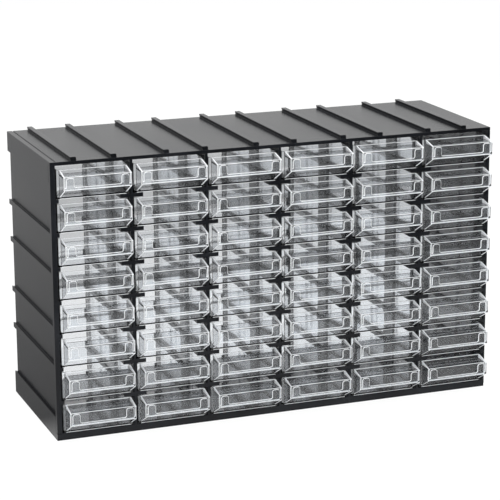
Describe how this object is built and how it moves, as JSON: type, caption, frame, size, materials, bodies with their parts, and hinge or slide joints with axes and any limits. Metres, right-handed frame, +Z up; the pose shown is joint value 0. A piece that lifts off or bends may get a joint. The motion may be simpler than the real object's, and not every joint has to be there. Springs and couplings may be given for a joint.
{
  "type": "parts bin cabinet",
  "caption": "Black moulded cabinet for small parts, with rows of clear drawers that slide out at the front and coupling rails on its outside.",
  "frame": {"origin": "on the surface that the cabinet stands on, under the middle of the whole object with its drawer handles", "axes": "+X to the right seen from the front, +Y from the front to the back, +Z up. The drawers open towards -Y"},
  "size_m": [0.382, 0.148, 0.23],
  "materials": {
    "case_plastic": "satin black moulded plastic with a fine grain",
    "clear_plastic": "clear, glossy moulded polystyrene"
  },
  "bodies": {
    "case": {"top_cover": "case_plastic", "bottom_cover": "case_plastic", "left_side": "case_plastic", "right_side": "case_plastic", "divider_1": "case_plastic", "divider_2": "case_plastic", "divider_3": "case_plastic", "divider_4": "case_plastic", "divider_5": "case_plastic", "cross_shelves": "case_plastic", "rear_tie_bars": "case_plastic"},
    "drawer_r1_c1": {"drawer_r1_c1": "clear_plastic"},
    "drawer_r1_c2": {"drawer_r1_c2": "clear_plastic"},
    "drawer_r1_c3": {"drawer_r1_c3": "clear_plastic"},
    "drawer_r1_c4": {"drawer_r1_c4": "clear_plastic"},
    "drawer_r1_c5": {"drawer_r1_c5": "clear_plastic"},
    "drawer_r1_c6": {"drawer_r1_c6": "clear_plastic"},
    "drawer_r2_c1": {"drawer_r2_c1": "clear_plastic"},
    "drawer_r2_c2": {"drawer_r2_c2": "clear_plastic"},
    "drawer_r2_c3": {"drawer_r2_c3": "clear_plastic"},
    "drawer_r2_c4": {"drawer_r2_c4": "clear_plastic"},
    "drawer_r2_c5": {"drawer_r2_c5": "clear_plastic"},
    "drawer_r2_c6": {"drawer_r2_c6": "clear_plastic"},
    "drawer_r3_c1": {"drawer_r3_c1": "clear_plastic"},
    "drawer_r3_c2": {"drawer_r3_c2": "clear_plastic"},
    "drawer_r3_c3": {"drawer_r3_c3": "clear_plastic"},
    "drawer_r3_c4": {"drawer_r3_c4": "clear_plastic"},
    "drawer_r3_c5": {"drawer_r3_c5": "clear_plastic"},
    "drawer_r3_c6": {"drawer_r3_c6": "clear_plastic"},
    "drawer_r4_c1": {"drawer_r4_c1": "clear_plastic"},
    "drawer_r4_c2": {"drawer_r4_c2": "clear_plastic"},
    "drawer_r4_c3": {"drawer_r4_c3": "clear_plastic"},
    "drawer_r4_c4": {"drawer_r4_c4": "clear_plastic"},
    "drawer_r4_c5": {"drawer_r4_c5": "clear_plastic"},
    "drawer_r4_c6": {"drawer_r4_c6": "clear_plastic"},
    "drawer_r5_c1": {"drawer_r5_c1": "clear_plastic"},
    "drawer_r5_c2": {"drawer_r5_c2": "clear_plastic"},
    "drawer_r5_c3": {"drawer_r5_c3": "clear_plastic"},
    "drawer_r5_c4": {"drawer_r5_c4": "clear_plastic"},
    "drawer_r5_c5": {"drawer_r5_c5": "clear_plastic"},
    "drawer_r5_c6": {"drawer_r5_c6": "clear_plastic"},
    "drawer_r6_c1": {"drawer_r6_c1": "clear_plastic"},
    "drawer_r6_c2": {"drawer_r6_c2": "clear_plastic"},
    "drawer_r6_c3": {"drawer_r6_c3": "clear_plastic"},
    "drawer_r6_c4": {"drawer_r6_c4": "clear_plastic"},
    "drawer_r6_c5": {"drawer_r6_c5": "clear_plastic"},
    "drawer_r6_c6": {"drawer_r6_c6": "clear_plastic"},
    "drawer_r7_c1": {"drawer_r7_c1": "clear_plastic"},
    "drawer_r7_c2": {"drawer_r7_c2": "clear_plastic"},
    "drawer_r7_c3": {"drawer_r7_c3": "clear_plastic"},
    "drawer_r7_c4": {"drawer_r7_c4": "clear_plastic"},
    "drawer_r7_c5": {"drawer_r7_c5": "clear_plastic"},
    "drawer_r7_c6": {"drawer_r7_c6": "clear_plastic"},
    "drawer_r8_c1": {"drawer_r8_c1": "clear_plastic"},
    "drawer_r8_c2": {"drawer_r8_c2": "clear_plastic"},
    "drawer_r8_c3": {"drawer_r8_c3": "clear_plastic"},
    "drawer_r8_c4": {"drawer_r8_c4": "clear_plastic"},
    "drawer_r8_c5": {"drawer_r8_c5": "clear_plastic"},
    "drawer_r8_c6": {"drawer_r8_c6": "clear_plastic"}
  },
  "joints": [
    {"name": "drawer_r1_c1_slide", "type": "slide", "parent": "case", "child": "drawer_r1_c1", "axis": [0, -1, 0], "range_m": [0, 0.112]},
    {"name": "drawer_r1_c2_slide", "type": "slide", "parent": "case", "child": "drawer_r1_c2", "axis": [0, -1, 0], "range_m": [0, 0.112]},
    {"name": "drawer_r1_c3_slide", "type": "slide", "parent": "case", "child": "drawer_r1_c3", "axis": [0, -1, 0], "range_m": [0, 0.112]},
    {"name": "drawer_r1_c4_slide", "type": "slide", "parent": "case", "child": "drawer_r1_c4", "axis": [0, -1, 0], "range_m": [0, 0.112]},
    {"name": "drawer_r1_c5_slide", "type": "slide", "parent": "case", "child": "drawer_r1_c5", "axis": [0, -1, 0], "range_m": [0, 0.112]},
    {"name": "drawer_r1_c6_slide", "type": "slide", "parent": "case", "child": "drawer_r1_c6", "axis": [0, -1, 0], "range_m": [0, 0.112]},
    {"name": "drawer_r2_c1_slide", "type": "slide", "parent": "case", "child": "drawer_r2_c1", "axis": [0, -1, 0], "range_m": [0, 0.112]},
    {"name": "drawer_r2_c2_slide", "type": "slide", "parent": "case", "child": "drawer_r2_c2", "axis": [0, -1, 0], "range_m": [0, 0.112]},
    {"name": "drawer_r2_c3_slide", "type": "slide", "parent": "case", "child": "drawer_r2_c3", "axis": [0, -1, 0], "range_m": [0, 0.112]},
    {"name": "drawer_r2_c4_slide", "type": "slide", "parent": "case", "child": "drawer_r2_c4", "axis": [0, -1, 0], "range_m": [0, 0.112]},
    {"name": "drawer_r2_c5_slide", "type": "slide", "parent": "case", "child": "drawer_r2_c5", "axis": [0, -1, 0], "range_m": [0, 0.112]},
    {"name": "drawer_r2_c6_slide", "type": "slide", "parent": "case", "child": "drawer_r2_c6", "axis": [0, -1, 0], "range_m": [0, 0.112]},
    {"name": "drawer_r3_c1_slide", "type": "slide", "parent": "case", "child": "drawer_r3_c1", "axis": [0, -1, 0], "range_m": [0, 0.112]},
    {"name": "drawer_r3_c2_slide", "type": "slide", "parent": "case", "child": "drawer_r3_c2", "axis": [0, -1, 0], "range_m": [0, 0.112]},
    {"name": "drawer_r3_c3_slide", "type": "slide", "parent": "case", "child": "drawer_r3_c3", "axis": [0, -1, 0], "range_m": [0, 0.112]},
    {"name": "drawer_r3_c4_slide", "type": "slide", "parent": "case", "child": "drawer_r3_c4", "axis": [0, -1, 0], "range_m": [0, 0.112]},
    {"name": "drawer_r3_c5_slide", "type": "slide", "parent": "case", "child": "drawer_r3_c5", "axis": [0, -1, 0], "range_m": [0, 0.112]},
    {"name": "drawer_r3_c6_slide", "type": "slide", "parent": "case", "child": "drawer_r3_c6", "axis": [0, -1, 0], "range_m": [0, 0.112]},
    {"name": "drawer_r4_c1_slide", "type": "slide", "parent": "case", "child": "drawer_r4_c1", "axis": [0, -1, 0], "range_m": [0, 0.112]},
    {"name": "drawer_r4_c2_slide", "type": "slide", "parent": "case", "child": "drawer_r4_c2", "axis": [0, -1, 0], "range_m": [0, 0.112]},
    {"name": "drawer_r4_c3_slide", "type": "slide", "parent": "case", "child": "drawer_r4_c3", "axis": [0, -1, 0], "range_m": [0, 0.112]},
    {"name": "drawer_r4_c4_slide", "type": "slide", "parent": "case", "child": "drawer_r4_c4", "axis": [0, -1, 0], "range_m": [0, 0.112]},
    {"name": "drawer_r4_c5_slide", "type": "slide", "parent": "case", "child": "drawer_r4_c5", "axis": [0, -1, 0], "range_m": [0, 0.112]},
    {"name": "drawer_r4_c6_slide", "type": "slide", "parent": "case", "child": "drawer_r4_c6", "axis": [0, -1, 0], "range_m": [0, 0.112]},
    {"name": "drawer_r5_c1_slide", "type": "slide", "parent": "case", "child": "drawer_r5_c1", "axis": [0, -1, 0], "range_m": [0, 0.112]},
    {"name": "drawer_r5_c2_slide", "type": "slide", "parent": "case", "child": "drawer_r5_c2", "axis": [0, -1, 0], "range_m": [0, 0.112]},
    {"name": "drawer_r5_c3_slide", "type": "slide", "parent": "case", "child": "drawer_r5_c3", "axis": [0, -1, 0], "range_m": [0, 0.112]},
    {"name": "drawer_r5_c4_slide", "type": "slide", "parent": "case", "child": "drawer_r5_c4", "axis": [0, -1, 0], "range_m": [0, 0.112]},
    {"name": "drawer_r5_c5_slide", "type": "slide", "parent": "case", "child": "drawer_r5_c5", "axis": [0, -1, 0], "range_m": [0, 0.112]},
    {"name": "drawer_r5_c6_slide", "type": "slide", "parent": "case", "child": "drawer_r5_c6", "axis": [0, -1, 0], "range_m": [0, 0.112]},
    {"name": "drawer_r6_c1_slide", "type": "slide", "parent": "case", "child": "drawer_r6_c1", "axis": [0, -1, 0], "range_m": [0, 0.112]},
    {"name": "drawer_r6_c2_slide", "type": "slide", "parent": "case", "child": "drawer_r6_c2", "axis": [0, -1, 0], "range_m": [0, 0.112]},
    {"name": "drawer_r6_c3_slide", "type": "slide", "parent": "case", "child": "drawer_r6_c3", "axis": [0, -1, 0], "range_m": [0, 0.112]},
    {"name": "drawer_r6_c4_slide", "type": "slide", "parent": "case", "child": "drawer_r6_c4", "axis": [0, -1, 0], "range_m": [0, 0.112]},
    {"name": "drawer_r6_c5_slide", "type": "slide", "parent": "case", "child": "drawer_r6_c5", "axis": [0, -1, 0], "range_m": [0, 0.112]},
    {"name": "drawer_r6_c6_slide", "type": "slide", "parent": "case", "child": "drawer_r6_c6", "axis": [0, -1, 0], "range_m": [0, 0.112]},
    {"name": "drawer_r7_c1_slide", "type": "slide", "parent": "case", "child": "drawer_r7_c1", "axis": [0, -1, 0], "range_m": [0, 0.112]},
    {"name": "drawer_r7_c2_slide", "type": "slide", "parent": "case", "child": "drawer_r7_c2", "axis": [0, -1, 0], "range_m": [0, 0.112]},
    {"name": "drawer_r7_c3_slide", "type": "slide", "parent": "case", "child": "drawer_r7_c3", "axis": [0, -1, 0], "range_m": [0, 0.112]},
    {"name": "drawer_r7_c4_slide", "type": "slide", "parent": "case", "child": "drawer_r7_c4", "axis": [0, -1, 0], "range_m": [0, 0.112]},
    {"name": "drawer_r7_c5_slide", "type": "slide", "parent": "case", "child": "drawer_r7_c5", "axis": [0, -1, 0], "range_m": [0, 0.112]},
    {"name": "drawer_r7_c6_slide", "type": "slide", "parent": "case", "child": "drawer_r7_c6", "axis": [0, -1, 0], "range_m": [0, 0.112]},
    {"name": "drawer_r8_c1_slide", "type": "slide", "parent": "case", "child": "drawer_r8_c1", "axis": [0, -1, 0], "range_m": [0, 0.112]},
    {"name": "drawer_r8_c2_slide", "type": "slide", "parent": "case", "child": "drawer_r8_c2", "axis": [0, -1, 0], "range_m": [0, 0.112]},
    {"name": "drawer_r8_c3_slide", "type": "slide", "parent": "case", "child": "drawer_r8_c3", "axis": [0, -1, 0], "range_m": [0, 0.112]},
    {"name": "drawer_r8_c4_slide", "type": "slide", "parent": "case", "child": "drawer_r8_c4", "axis": [0, -1, 0], "range_m": [0, 0.112]},
    {"name": "drawer_r8_c5_slide", "type": "slide", "parent": "case", "child": "drawer_r8_c5", "axis": [0, -1, 0], "range_m": [0, 0.112]},
    {"name": "drawer_r8_c6_slide", "type": "slide", "parent": "case", "child": "drawer_r8_c6", "axis": [0, -1, 0], "range_m": [0, 0.112]}
  ]
}
